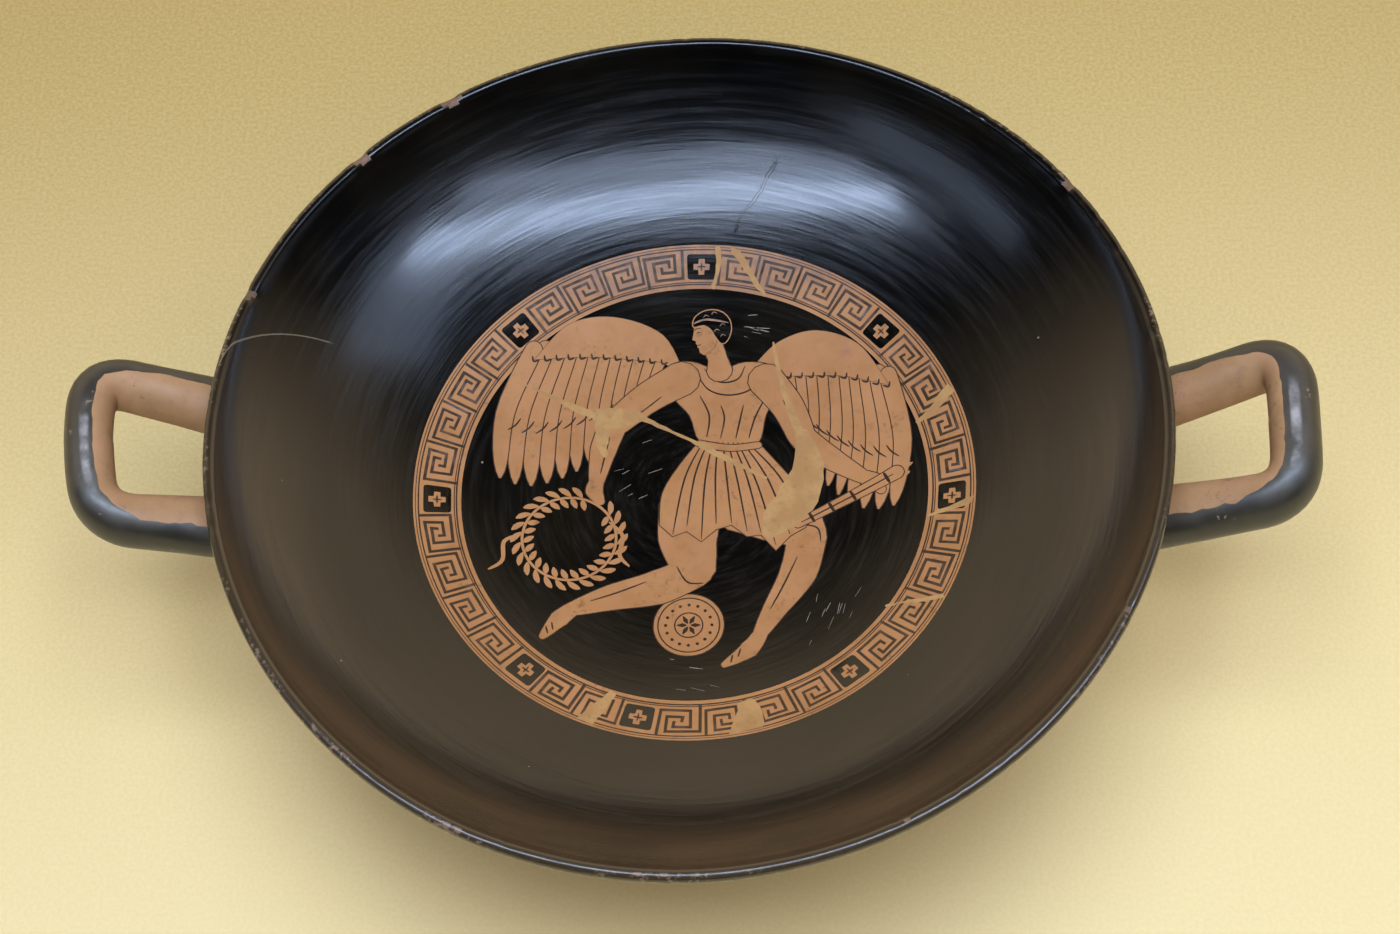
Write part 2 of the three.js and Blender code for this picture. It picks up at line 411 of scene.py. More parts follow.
def border():
    shapes = [(disc((0, 0), BAND_OUTER, RING_SIDES), "clay")]
    for radius, width in BORDER_LINES:
        shapes.append((disc((0, 0), radius + width / 2, RING_SIDES), "line"))
        shapes.append((disc((0, 0), radius - width / 2, RING_SIDES), "clay"))
    shapes.append((disc((0, 0), BAND_INNER, RING_SIDES), "gloss"))
    for angle, following in zip(CROSS_ANGLES, CROSS_ANGLES[1:] + [CROSS_ANGLES[0] + 360]):
        shapes += cross_cell(angle)
        first, last = angle + CROSS_CELL / 2, following - CROSS_CELL / 2
        keys = round((last - first) / KEY_PITCH)
        pitch = (last - first) / keys
        for k in range(keys):
            start, end = (first + k * pitch + share * pitch for share in KEY_SPAN)
            shapes += [(stroke, "key") for stroke in key_strokes(start, end)]
    return shapes


# ---- the picture: a winged youth with torch and wreath

def feather(root, tip, bow, half):
    """A long feather with a round end, bowed sideways."""
    middle = root.lerp(tip, 0.5) + Vector((bow, 0))
    return limb([root, middle, tip], [half * w for w in (0.9, 1, 1, 1, 1, 0.95, 0.85, 0.65, 0.1)])


def wing(crest, edge, tips, count, bow):
    """Long feathers under a smooth shoulder: `crest` is the wing's upper outline from the body outwards,
    `edge` the shoulder's lower line and `tips` the feathers' ends, both inwards from the outermost."""
    edge_line, tip_line = smooth(edge), smooth(tips)
    roots = [along(edge_line, i / (count - 1)) for i in range(count)]
    ends = [along(tip_line, i / (count - 1)) for i in range(count)]
    shapes = []
    for i in reversed(range(count)):
        near = max(i - 1, 0)
        half = 0.6 * max((roots[near + 1] - roots[near]).length, abs((ends[near + 1] - ends[near]).x))
        shapes += inked(feather(roots[i] + Vector((0, 3)), ends[i], bow * (1 - i / count), half))
    shapes += inked(smooth(crest) + edge_line, line=0.12)
    side = Vector((0.9 if bow < 0 else -0.9, 0))
    for root, end in zip(roots, ends):
        tier = root.lerp(end, 0.55)
        short = [root + side * 1.6, root + Vector((0, -0.5)), root - side * 0.4 + Vector((0, 1))]
        long = [tier - side * 2.2 + Vector((0, -1.6)), tier, tier + side * 1.4 + Vector((0, 2))]
        shapes += strokes(0.6, short) + strokes(0.48, long)
    return shapes


def wings():
    left = wing([(-3, 35), (-9, 47), (-22, 52), (-34, 49.5), (-42.5, 39.5)],
                [(-43, 39), (-27, 40.5), (-9, 39)],
                [(-50.5, 4), (-44, 2), (-36, 4), (-29, 8), (-22, 15), (-15, 26)], 12, -3.2)
    right = wing([(15, 37), (22, 44), (32, 46.5), (43, 41.5), (50.2, 30)],
                 [(50.6, 29), (38, 33), (22, 34)],
                 [(51, -6), (45, -6.5), (39, -3.5), (33, 3), (29, 10), (25, 18)], 11, 3.0)
    return left + right


def head():
    """A plain profile laid out in head heights from the chin, looking left and a little down."""
    height, chin, tilt = 11.6, Vector((1.6, 40.8)), Matrix.Rotation(math.radians(13), 2)

    def at(x, y):
        return chin + tilt @ Vector((x + 0.3, y)) * height

    face = [at(-0.3, 0.8), at(-0.36, 0.62), at(-0.435, 0.44), at(-0.36, 0.385), at(-0.38, 0.325),
            at(-0.35, 0.28), at(-0.37, 0.235), at(-0.33, 0.19), at(-0.345, 0.09), at(-0.26, 0),
            at(0.02, 0.13), at(0.14, 0.36), at(0.06, 0.62), at(-0.12, 0.8)]
    hair = smooth([at(-0.33, 0.76), at(-0.24, 0.97), at(0.04, 1.07), at(0.34, 0.98), at(0.5, 0.74),
                   at(0.48, 0.46), at(0.34, 0.24), at(0.2, 0.2), at(0.11, 0.38), at(0.04, 0.6),
                   at(-0.1, 0.74)], closed=True)
    headband = [at(-0.33, 0.83), at(0, 0.86), at(0.47, 0.66)]
    eye = [at(-0.31, 0.555), at(-0.26, 0.59), at(-0.19, 0.56)]
    brow = [at(-0.35, 0.66), at(-0.27, 0.69), at(-0.17, 0.67)]
    mouth = [at(-0.35, 0.28), at(-0.31, 0.275), at(-0.27, 0.29)]
    curls = ((0.16, 0.52), (0.27, 0.36), (0.32, 0.62), (0.0, 0.92), (0.2, 0.95))
    curls = [[at(x - 0.06, y), at(x, y + 0.05), at(x + 0.07, y)] for x, y in curls]
    shapes = inked(limb([at(-0.02, 0.2), at(0.02, -0.15), at(0.0, -0.45)], [2.7, 2.5, 3.4]))
    shapes += inked(face, line=0.12)
    shapes += [(grown(hair, 0.3), "clay"), (hair, "gloss")]
    shapes += strokes(0.6, headband, kind="worn")
    shapes += strokes(0.3, eye) + strokes(0.28, brow) + strokes(0.25, mouth)
    return shapes + strokes(0.22, *curls, kind="worn")


def tunic():
    """A short belted tunic: bodice, belt and a skirt with a folded hem."""
    bodice = [(-7, 37.5), (-1.5, 39), (6, 36.5), (13, 38.5), (20, 37), (22, 30), (18.5, 23), (16.3, 14.5),
              (9, 13.5), (1.4, 15.3), (-1.5, 23), (-6, 29)]
    waist = [Vector((1.2, 15.4)), Vector((16.4, 14.6))]
    hem = [Vector(p) for p in ((-9, -9), (-5.6, -12.4), (-2, -11), (1.8, -14), (5.6, -10.6),
                               (9.6, -9.4), (13.6, -12.8), (17.2, -12.4), (21, -17), (24.6, -13),
                               (28.6, -10.6), (31, -4.4))]
    left_side = smooth([waist[0], (-4.2, 8), (-8.4, 0), hem[0]])
    right_side = smooth([hem[-1], (24, 5), waist[1]])
    shapes = inked(left_side + hem[1:-1] + right_side) + inked(smooth(bodice, 4, closed=True))
    for i, end in enumerate(hem[1:-1]):
        start = waist[0].lerp(waist[1], (i + 0.8) / len(hem))
        middle = start.lerp(end, 0.45) + Vector((0.3 * (i - 4.5), 1.4))
        shapes += strokes(0.48, [start, middle, end + Vector((0, 0.5 + i % 2))])
    shapes += strokes(0.48, [(-1, 38), (3, 31), (9, 29), (15, 31), (17, 37.5)],
                      [(2, 37), (6, 33), (11, 33.6), (13, 37.5)],
                      [(3, 16.5), (3.6, 23), (1, 29)], [(6.6, 16), (7.6, 22), (6.6, 26)],
                      [(10.6, 16), (11.6, 21), (12.6, 26)], [(14, 16), (15.6, 22), (18.4, 28)])
    belt = [waist[0] + Vector((0, -0.7)), Vector((9, 13.2)), waist[1] + Vector((0, -0.7))]
    return shapes + inked(limb(belt, [0.9, 0.9, 0.9]))


def legs():
    back = inked(limb([(-1, -4), (-1.6, -13), (0.2, -21)], [8.2, 7.6, 5.6]),
                 limb([(0.4, -22.5), (-9, -27), (-21, -30), (-30.5, -33.4)], [4.6, 4.9, 3.6, 1.9]),
                 limb([(-30, -33), (-33.6, -36.4), (-37.4, -41.6)], [1.9, 2.4, 0.9]))
    front = inked(limb([(12, -3), (21, -7), (28, -11)], [8.4, 7.6, 5.6]),
                  limb([(29, -13), (26.6, -23.5), (20.6, -34), (16.8, -41)], [5, 4.7, 3, 1.7]),
                  limb([(17, -41), (14, -45.4), (8, -49.6)], [1.8, 2.4, 0.8]))
    muscles = strokes(0.46, [(-4.4, -21), (-1.6, -25.6), (2.6, -26)],
                      [(27, -9.6), (31.6, -11), (32.4, -15)],
                      [(-12, -25.4), (-19, -28.4), (-26, -31)], [(26.4, -19), (22.4, -28), (19.4, -34)])
    toes = strokes(0.46, [(-35.4, -37.4), (-35, -39.6)], [(-36.8, -38.6), (-36.2, -40.8)],
                   [(12, -45), (11.4, -47.4)], [(10, -46.8), (9.6, -49)])
    return back + front + muscles + toes


def arms():
    left = inked(limb([(-4, 34), (-13, 28.4), (-21, 21)], [5, 4.4, 3.7]),
                 limb([(-21.6, 20.6), (-24, 13), (-25.6, 3.6)], [3.7, 3.4, 1.9]),
                 limb([(-25.6, 3.4), (-26, 1), (-24.4, -2)], [1.9, 2.3, 1.1]))
    right = inked(limb([(18.6, 33), (24.2, 25), (27.8, 16)], [4.8, 4.2, 3.5]),
                  limb([(28, 15.6), (35.4, 9), (43.6, 3)], [3.5, 3.1, 1.8]),
                  limb([(43.4, 3.2), (46.4, 1.4), (48, -1)], [1.8, 2.4, 1.2]))
    muscles = strokes(0.44, [(-9, 29), (-14, 24.6), (-19, 21)], [(-22.4, 17), (-23.6, 11), (-24.6, 6)],
                      [(23, 27), (25.6, 21), (26.6, 18)])
    return left + right + muscles


def wreath():
    """A ring of paired leaves that hangs from the left hand, with a ribbon on each side."""
    centre, radius = Vector((-32, -13)), 12
    ring = disc(centre, radius, 72)
    shapes = [(grown(ring, 0.35), "clay"), (grown(ring, -0.35), "gloss")]
    for i in range(26):
        turn = 360 / 26 * (i + 0.5)
        if 35 < turn < 75:  # the hand
            continue
        for way, lean in ((1.4, 26), (-1.4, -20)):
            start = centre + polar(radius + way * 0.3, turn)
            end = centre + polar(radius + way * 2.1, turn + lean * 0.5)
            middle = start.lerp(end, 0.5) + polar(0.25, turn)
            shapes.append((limb([start, middle, end], [0.12, 0.75, 0.75, 0.1], 4), "clay"))
    return shapes + strokes(1.1, [(-22, -8), (-18.4, -12), (-19, -17.6), (-16.4, -21)],
                            [(-44, -12), (-48.4, -14.4), (-48.6, -20), (-52, -23)], kind="clay")


def torch():
    """Bound rods that cross the right hand, with a small flame at the far end."""
    near, far = Vector((26.6, -9.6)), Vector((52, 3.6))
    ahead = (far - near).normalized()
    across = Vector((-ahead.y, ahead.x))
    shapes = []
    for reach, aside in ((3.2, 1.8), (4.8, 0.2), (3, -1.7)):
        tip = far + ahead * reach + across * aside
        tongue = [far, far.lerp(tip, 0.55) + across * aside * 0.3, tip]
        shapes.append((limb(tongue, [0.9, 0.8, 0.1]), "clay"))
    shapes += inked(limb([near, near.lerp(far, 0.5), far], [1.1, 1.4, 1.9]))
    shapes += strokes(0.46, [near + ahead, far - ahead])
    bindings = [near.lerp(far, place) for place in (0.14, 0.34, 0.56, 0.9)]
    return shapes + strokes(0.9, *([spot + across * 1.7, spot - across * 1.7] for spot in bindings))


def drum():
    """A hand drum below the knees: a hoop, a ring of dots and a small rosette."""
    centre, radius = Vector((-1, -38)), 8.8
    shapes = inked(disc(centre, radius, 60))
    for share in (0.9, 0.42):
        shapes.append((disc(centre, radius * share, 60), "line"))
        shapes.append((disc(centre, radius * share - 0.35, 60), "clay"))
    for i in range(16):
        shapes.append((disc(centre + polar(radius * 0.66, 22.5 * i), 0.45, 8), "line"))
    for i in range(6):
        petal = [centre + polar(reach, 60 * i) for reach in (0.5, radius * 0.18, radius * 0.34)]
        shapes.append((limb(petal, [0.1, 0.6, 0.1], 3), "line"))
    return shapes


# ---- mends and wear in the picture

def ragged(points, widths, roughness=0.22):
    """A flat-ended patch along a line with an uneven edge. Points past the border are left out."""
    line = smooth(points, 5)
    left, right = sides(line, spread(widths, len(line)))
    patch = []
    for point in left + right[::-1]:
        point = point + Vector((random.uniform(-1, 1), random.uniform(-1, 1))) * roughness
        if point.length < BAND_OUTER:
            patch.append(point)
    return patch


def mends():
    """Plaster fills along the old breaks, as lines with half widths."""
    lines = [
        ([(-46, 32), (-36, 27.4), (-27, 23.4)], [0.2, 0.6, 1.2]),
        ([(-28, 24), (-21, 22.6), (-14, 23)], [1.0, 3.4, 1.2]),
        ([(-24, 21), (-24.4, 15), (-23.4, 11)], [2.4, 1.6, 0.4]),
        ([(-15, 23), (-8, 19.4), (2, 14)], [1.1, 0.4, 0.7]),
        ([(1.6, 14.2), (9, 9.4), (18.6, 4)], [0.9, 0.8, 0.3]),
        ([(20.6, 44), (22, 36), (24, 27), (27.6, 16)], [0.2, 0.6, 0.8, 1.3]),
        ([(27.6, 18), (29.4, 8), (27, -1), (22, -8), (18.6, -13)], [1.2, 4.0, 5.4, 4.6, 0.8]),
        ([(59, -10), (65, -8.8), (72, -7.2)], [0.2, 0.6, 1.2]),
        ([(48, -35), (54, -34.6), (62.6, -34.2)], [0.2, 0.4, 0.7]),
        ([(13.4, -60.4), (14.4, -65), (13.6, -72)], [1.8, 3.4, 4.4]),
        ([(-19, -57.4), (-22, -61.6), (-26, -67)], [0.8, 1.6, 2.2]),
        ([(5.6, 72), (6.0, 66), (4.4, 60)], [0.9, 0.6, 0.5]),
        ([(9.6, 72), (13.6, 65), (18.4, 57.4)], [1.2, 0.9, 0.4]),
        ([(57.4, 17), (61.6, 20.4), (67, 26)], [0.4, 1.0, 1.5]),
    ]
    return [(ragged(points, widths), "plaster") for points, widths in lines]


def scratches():
    """Fine pale scratches in four places, each with its own reach, count and direction."""
    places = (((14, 49), 8, 9, -20), ((-12, -2), 14, 8, 30), ((36, -38), 12, 11, 68), ((0, -50), 10, 6, -15))
    shapes = []
    for centre, reach, count, lean in places:
        for _ in range(count):
            start = Vector(centre) + Vector((random.gauss(0, 0.5), random.gauss(0, 0.4))) * reach
            end = start + polar(random.uniform(1, 4), random.gauss(lean, 8))
            if start.length < BAND_INNER - 2 and end.length < BAND_INNER - 2:
                shapes.append((brush([start, end], random.uniform(0.1, 0.2), 2), "scratch"))
    return shapes


def picture():
    """Every shape of the picture as (outline, slot), with later ones over earlier ones."""
    ground = border() + scratches()
    figure = wings() + drum() + legs() + tunic() + arms() + wreath() + torch() + head()
    return ground + figure + mends()


# ---- the picture's mesh

def picture_mesh(shapes, slots):
    """Cuts the round field along every outline. Returns its points, triangles, slots and the
    index of the point that each edge point became."""
    points = [polar(PICTURE_EDGE, 360 * i / AROUND) for i in range(AROUND)]
    faces = [list(range(AROUND))]
    kinds = ["gloss"]
    for outline, kind in shapes:
        outline = counter_clockwise(outline)
        faces.append(list(range(len(points), len(points) + len(outline))))
        points += outline
        kinds.append(kind)
    spacing = 2.6  # of inner points, without which the round would be cut too coarsely to curve
    row_height = 0.866 * spacing  # of even-sided triangles
    clear = 1.2  # of the edge's own points
    rows = int(PICTURE_EDGE / spacing)
    for j in range(-rows, rows + 1):
        for i in range(-rows, rows + 1):
            spot = Vector(((i + 0.5 * (j % 2)) * spacing, j * row_height))
            if spot.length < PICTURE_EDGE - clear:
                points.append(spot)
    out, _, triangles, sources, _, owners = delaunay_2d_cdt(points, [], faces, 0, 1e-4, True)
    edge = {s: index for index, source in enumerate(sources) for s in source if s < AROUND}
    kept = [(triangle, slots[kinds[max(owner)]]) for triangle, owner in zip(triangles, owners) if owner]
    return out, [triangle for triangle, _ in kept], [slot for _, slot in kept], edge


# ---- handles

def arm_half(handle, u):
    """Half the distance between a loop's arms, at a length u from the wall."""
    return lerp(handle["root"], handle["outer"], u / handle["length"])


def loop_line(handle, steps=120):
    """The loop's flat centre line, evenly spaced."""
    tip = Vector((handle["length"] + handle["bulge"], 0))
    ends = []
    for way in (-1, 1):
        root = Vector((-HIDDEN_LENGTH, way * arm_half(handle, -HIDDEN_LENGTH)))
        corner = Vector((handle["length"] + way * handle["skew"], way * handle["outer"]))
        before = corner.lerp(root, CORNER_LENGTH / (corner - root).length)
        after = corner.lerp(tip, CORNER_LENGTH / (corner - tip).length)
        ends.append((root, before, corner, after))
    (root_a, before_a, corner_a, after_a), (root_b, before_b, corner_b, after_b) = ends
    fine = [root_a, before_a]
    for start, bend, end in ((before_a, corner_a, after_a), (after_a, tip, after_b),
                             (after_b, corner_b, before_b)):
        fine += bezier(start, bend, end, BAR_STEPS)
    fine.append(root_b)
    return [along(fine, i / steps) for i in range(steps + 1)]


def handle_point(handle, centre, across, angle, swell=0):
    """A point of the rod's skin: angle 0 is away from the loop's middle, 90 is its upper side."""
    flat = centre + across * ROD_HALF_WIDTH * (1 + swell) * math.cos(angle)
    height = ROD_HALF_HEIGHT * (1 + swell) * math.sin(angle)
    arm = math.copysign(arm_half(handle, flat.x), flat.y)
    flare = ROOT_FLARE * min(max(1 - flat.x / handle["length"], 0), 1)
    y = flat.y + flare * (flat.y - arm)
    tilt = math.radians(handle["tilt"])
    root_x = HANDLE_START - HIDDEN_LENGTH * math.cos(tilt)
    root_z = CUP_HEIGHT - handle["drop"] - HIDDEN_LENGTH * math.sin(tilt)
    rise = middle_height(math.hypot(root_x, handle["root"])) - root_z
    bend = (max(0, BEND_FROM - flat.x) / (BEND_FROM + HIDDEN_LENGTH)) ** 2
    height *= 1 - ROOT_TAPER * bend
    x = HANDLE_START + flat.x * math.cos(tilt) - height * math.sin(tilt)
    z = CUP_HEIGHT - handle["drop"] + flat.x * math.sin(tilt) + height * math.cos(tilt) + rise * bend
    return Matrix.Rotation(math.radians(handle["turn"]), 3, "Z") @ Vector((x, y, z))


def depth_below(point):
    """How far a point is below the wall's middle face, square to it."""
    r = min(math.hypot(point.x, point.y), MIDDLE_RIM - 1)
    return (sag(point.x, point.y, middle_height(r)) - point.z) / math.hypot(1, wall_slope(r))


def skin_column(handle, line, angles):
    """One line of the rod's skin from root to root. It swells towards the wall, and its last stretch
    turns up into the wall's middle, so that the underside closes too."""
    skin = []
    for centre, before, after, angle in zip(line, line[:1] + line, line[1:] + line[-1:], angles):
        across = -(after - before).orthogonal().normalized()
        point = handle_point(handle, centre, across, angle)
        gap = max(depth_below(point) - FLOOR_HALF_WALL, 0)
        swell = ROOT_SWELL * max(0, 1 - gap / SWELL_REACH) ** 2
        swell += SKIN_WAVER * noise.noise(point * SKIN_WAVES)
        point = handle_point(handle, centre, across, angle, swell)
        hidden = max(0, -centre.x - CLOSE_FROM) / (HIDDEN_LENGTH - CLOSE_FROM)
        middle = sag(point.x, point.y, middle_height(math.hypot(point.x, point.y)))
        point.z = lerp(point.z, middle, hidden ** 2)
        skin.append(point)
    half = len(skin) // 2
    for order in (range(half, -1, -1), range(half, len(skin))):
        stop = None
        for i in order:
            if stop is None and depth_below(skin[i]) < SKIN_STOP:
                stop = skin[i]
            if stop is not None:
                skin[i] = stop.copy()
    return skin


def gloss_edges(handle, share):
    """The two angles between which the rod is black, at a share of the loop's length: on the outer
    bar the black reaches its crown, on the arms it stops short of it."""
    near_arm, far_arm, crown, underside = 66, 78, 92, -78
    half_bar = 0.17
    bar = max(0, 1 - abs(share - 0.5) / half_bar) ** 0.5
    on_far_arm = (share < 0.5) == (handle["turn"] == 180)
    waver = 0
    for depth, waves, seed in ((5, 37, 2), (3.5, 150, 7)):
        waver += depth * noise.noise(Vector((share * waves, handle["turn"], seed)))
    top = lerp(far_arm if on_far_arm else near_arm, crown, min(bar * 1.6, 1))
    return math.radians(top + waver), math.radians(underside + waver)


def handle_mesh(handle, slots):
    """The rod's skin as rings of points, with the reserved inner side in its own slot."""
    line = loop_line(handle)
    black, bare = 22, 18  # faces round the rod
    ring = black + bare
    edges = [gloss_edges(handle, i / (len(line) - 1)) for i in range(len(line))]
    columns = []
    for k in range(ring):
        if k <= black:
            angles = [lerp(top, bottom, k / black) for top, bottom in edges]
        else:
            angles = [lerp(bottom, top - 2 * math.pi, (k - black) / bare) for top, bottom in edges]
        columns.append(skin_column(handle, line, angles))
    points = [column[i] for i in range(len(line)) for column in columns]
    faces, face_slots = [], []
    for i in range(len(line) - 1):
        for k in range(ring):
            a, b = i * ring + k, i * ring + (k + 1) % ring
            if (points[a] - points[a + ring]).length + (points[b] - points[b + ring]).length < 1e-6:
                continue  # past the skin's end
            faces.append([a, b, b + ring, a + ring])
            face_slots.append(slots["handle_gloss"] if k < black else slots["handle_clay"])
    return points, faces, face_slots


# ---- materials

class Nodes:
    """A node tree, built with short calls. A value is a socket, a number or a tuple."""

    def __init__(self, owner):
        owner.use_nodes = True
        self.tree = owner.node_tree

    def add(self, kind, **settings):
        node = self.tree.nodes.new("ShaderNode" + kind)
        for key, value in settings.items():
            setattr(node, key, value)
        return node

    def put(self, socket, value):
        """Links a socket, or sets its number, vector or colour."""
        if isinstance(value, bpy.types.NodeSocket):
            self.tree.links.new(value, socket)
        elif socket.type == "RGBA":
            socket.default_value = (*value, 1)
        elif socket.type == "VECTOR" and not isinstance(value, tuple):
            socket.default_value = (value,) * 3
        else:
            socket.default_value = value

    def fill(self, node, **values):
        for name, value in values.items():
            self.put(node.inputs[name.replace("_", " ")], value)
        return node

    def maths(self, operation, *values, vector=False):
        node = self.add("VectorMath" if vector else "Math", operation=operation)
        for socket, value in zip(node.inputs, values):
            self.put(socket, value)
        return node.outputs["Value"] if operation in ("LENGTH", "DOT_PRODUCT") else node.outputs[0]

    def times(self, first, *others):
        for other in others:
            first = self.maths("MULTIPLY", first, other)
        return first

    def split(self, vector):
        """A vector's X, Y and Z."""
        node = self.add("SeparateXYZ")
        self.put(node.inputs[0], vector)
        return node.outputs

    def ramp(self, value, low, high, start=0.0, end=1.0, kind="SMOOTHSTEP"):
        """Maps low..high to start..end, clamped."""
        node = self.add("MapRange", interpolation_type=kind)
        for socket, number in zip(node.inputs, (value, low, high, start, end)):
            self.put(socket, number)
        return node.outputs[0]

    def band(self, value, centre, half):
        """1 where a value is within `half` of a centre, fading out at the edge."""
        away = self.maths("ABSOLUTE", self.maths("SUBTRACT", value, centre))
        return self.ramp(away, half * 0.6, half, 1.0, 0.0)

    def mix(self, colour, *layers):
        """A colour with layers of (share, colour) laid over it in turn."""
        for share, tint in layers:
            node = self.add("Mix", data_type="RGBA")
            for place, value in ((0, share), (6, colour), (7, tint)):
                self.put(node.inputs[place], value)
            colour = node.outputs[2]
        return colour


class Finish(Nodes):
    """A material's nodes. Textures are laid out in millimetres."""

    def __init__(self, name):
        self.material = bpy.data.materials.new(name)
        super().__init__(self.material)
        self.shader = self.tree.nodes["Principled BSDF"]
        self.place = self.maths("MULTIPLY", self.add("TexCoord").outputs["Object"], 1 / UNIT, vector=True)
        self.flat = self.maths("MULTIPLY", self.place, (1, 1, 0), vector=True)
        self.radius = self.maths("LENGTH", self.flat, vector=True)

    def noise(self, size, detail=3, roughness=0.5, offset=0):
        """Noise with features about `size` mm across."""
        return self.texture(self.maths("ADD", self.place, offset, vector=True), size, detail, roughness)

    def texture(self, place, size, detail=3, roughness=0.5):
        node = self.add("TexNoise")
        self.fill(node, Vector=place, Scale=1 / size, Detail=detail, Roughness=roughness)
        return node.outputs["Fac"]

    def streaks(self, width, length, detail=3):
        """Noise drawn out around the cup's axis, as the wheel and the brush leave it."""
        around = self.maths("NORMALIZE", self.flat, vector=True)
        around = self.maths("MULTIPLY", around, 100 / length, vector=True)
        join = self.add("CombineXYZ")
        self.put(join.inputs[2], self.maths("DIVIDE", self.radius, width))
        return self.texture(self.maths("ADD", around, join.outputs[0], vector=True), 1, detail, 0.6)

    def set(self, **inputs):
        self.fill(self.shader, **inputs)

    def bump(self, *layers):
        """Layers of (height from 0 to 1, depth in mm)."""
        normal = None
        for height, depth in layers:
            node = self.fill(self.add("Bump"), Strength=1.0, Distance=depth * UNIT, Height=height)
            if normal:
                self.put(node.inputs["Normal"], normal)
            normal = node.outputs[0]
        self.put(self.shader.inputs["Normal"], normal)


def darker(colour, share):
    return tuple(share * c for c in colour)


def specks(nodes, spacing, size):
    """Small dots scattered over the surface, 1 in a dot."""
    cells = nodes.fill(nodes.add("TexVoronoi"), Vector=nodes.place, Scale=1 / spacing)
    near = nodes.ramp(cells.outputs["Distance"], size / spacing * 0.5, size / spacing, 1.0, 0.0)
    return nodes.times(near, nodes.ramp(nodes.split(cells.outputs["Color"])[0], 0.72, 0.8))


def crack(nodes, start, end, half):
    """1 along a wavering line between two points of the plan, up to the picture's edge."""
    start, end = Vector(start), Vector(end)
    ahead = (end - start).normalized()
    offset = nodes.maths("SUBTRACT", nodes.place, (*start, 0), vector=True)
    reach = nodes.maths("DOT_PRODUCT", offset, (*ahead, 0), vector=True)
    aside = nodes.maths("DOT_PRODUCT", offset, (-ahead.y, ahead.x, 0), vector=True)
    waver = nodes.times(nodes.maths("SUBTRACT", nodes.noise(9, 4), 0.5), 5.0)
    middle = (end - start).length / 2
    return nodes.times(nodes.band(nodes.maths("ADD", aside, waver), 0, half),
                       nodes.band(reach, middle, middle),
                       nodes.ramp(nodes.radius, PICTURE_EDGE - 1, PICTURE_EDGE))


def fine_scratch(nodes, axes):
    """1 on the curved scratch inside the bowl."""
    offset = nodes.maths("SUBTRACT", nodes.flat, (*SCRATCH_CENTRE, 0), vector=True)
    line = nodes.band(nodes.maths("LENGTH", offset, vector=True), SCRATCH_RADIUS, 0.2)
    return nodes.times(line, *(nodes.ramp(axis, *ends) for axis, ends in zip(axes, SCRATCH_ENDS)))


def worn_lip(nodes, height):
    """1 where the slip has worn off the edge of the lip."""
    edge = nodes.times(nodes.ramp(nodes.radius, MIDDLE_RIM - 0.5, MIDDLE_RIM + 0.4),
                       nodes.ramp(height, CUP_HEIGHT - 4.5, CUP_HEIGHT - 2.2))
    patches = nodes.times(nodes.ramp(nodes.noise(1.7, 5, 0.65), 0.5, 0.62),
                          nodes.ramp(nodes.noise(17, 2, offset=50), 0.47, 0.62, 0.08, 1))
    return nodes.times(edge, patches)


def gloss_material():
    """Black slip with the wheel's streaks, and a painted warm reflection that makes the wall nearest the
    camera browner.
    """
    nodes = Finish("black_gloss")
    axes = nodes.split(nodes.place)
    wheel, wide = nodes.streaks(1.3, 30), nodes.streaks(5, 60)
    lip = worn_lip(nodes, axes[2])
    scar = crack(nodes, (23, 92), (10, 74), 0.45)
    dots = specks(nodes, 9, 0.35)
    colour = nodes.mix(
        (0.001, 0.001, 0.001),
        (nodes.ramp(nodes.noise(38, 3), 0.35, 0.7), (0.005, 0.004, 0.0025)),
        (nodes.ramp(wheel, 0.52, 0.75, 0, 0.35), (0.012, 0.011, 0.010)),
        # Painted warm reflection: browner on the upper wall towards the camera.
        (nodes.times(nodes.ramp(axes[1], 60, -50), nodes.ramp(nodes.radius, 90, 111)), (0.040, 0.029, 0.018)),
        (nodes.times(fine_scratch(nodes, axes), 0.45), (0.25, 0.23, 0.19)),
        (nodes.times(lip, 0.85), (0.20, 0.135, 0.10)),
        (nodes.times(scar, 0.5), (0.04, 0.034, 0.03)),
        (nodes.times(dots, 0.8), (0.3, 0.27, 0.22)))
    roughness = nodes.ramp(wide, 0.2, 0.8, 0.18, 0.25)
    for more in (nodes.ramp(wheel, 0.35, 0.65, -0.04, 0.05), nodes.times(lip, 0.2)):
        roughness = nodes.maths("ADD", roughness, more)
    nodes.set(Base_Color=colour, Roughness=roughness, IOR=1.5, Coat_Weight=0.3, Coat_Roughness=0.13)
    nodes.bump((wide, 0.07), (wheel, 0.04), (nodes.streaks(0.5, 14), 0.012), (nodes.noise(22, 2), 0.07),
               (nodes.noise(2.2, 4), 0.004), (scar, -0.2), (dots, 0.05))
    return nodes.material


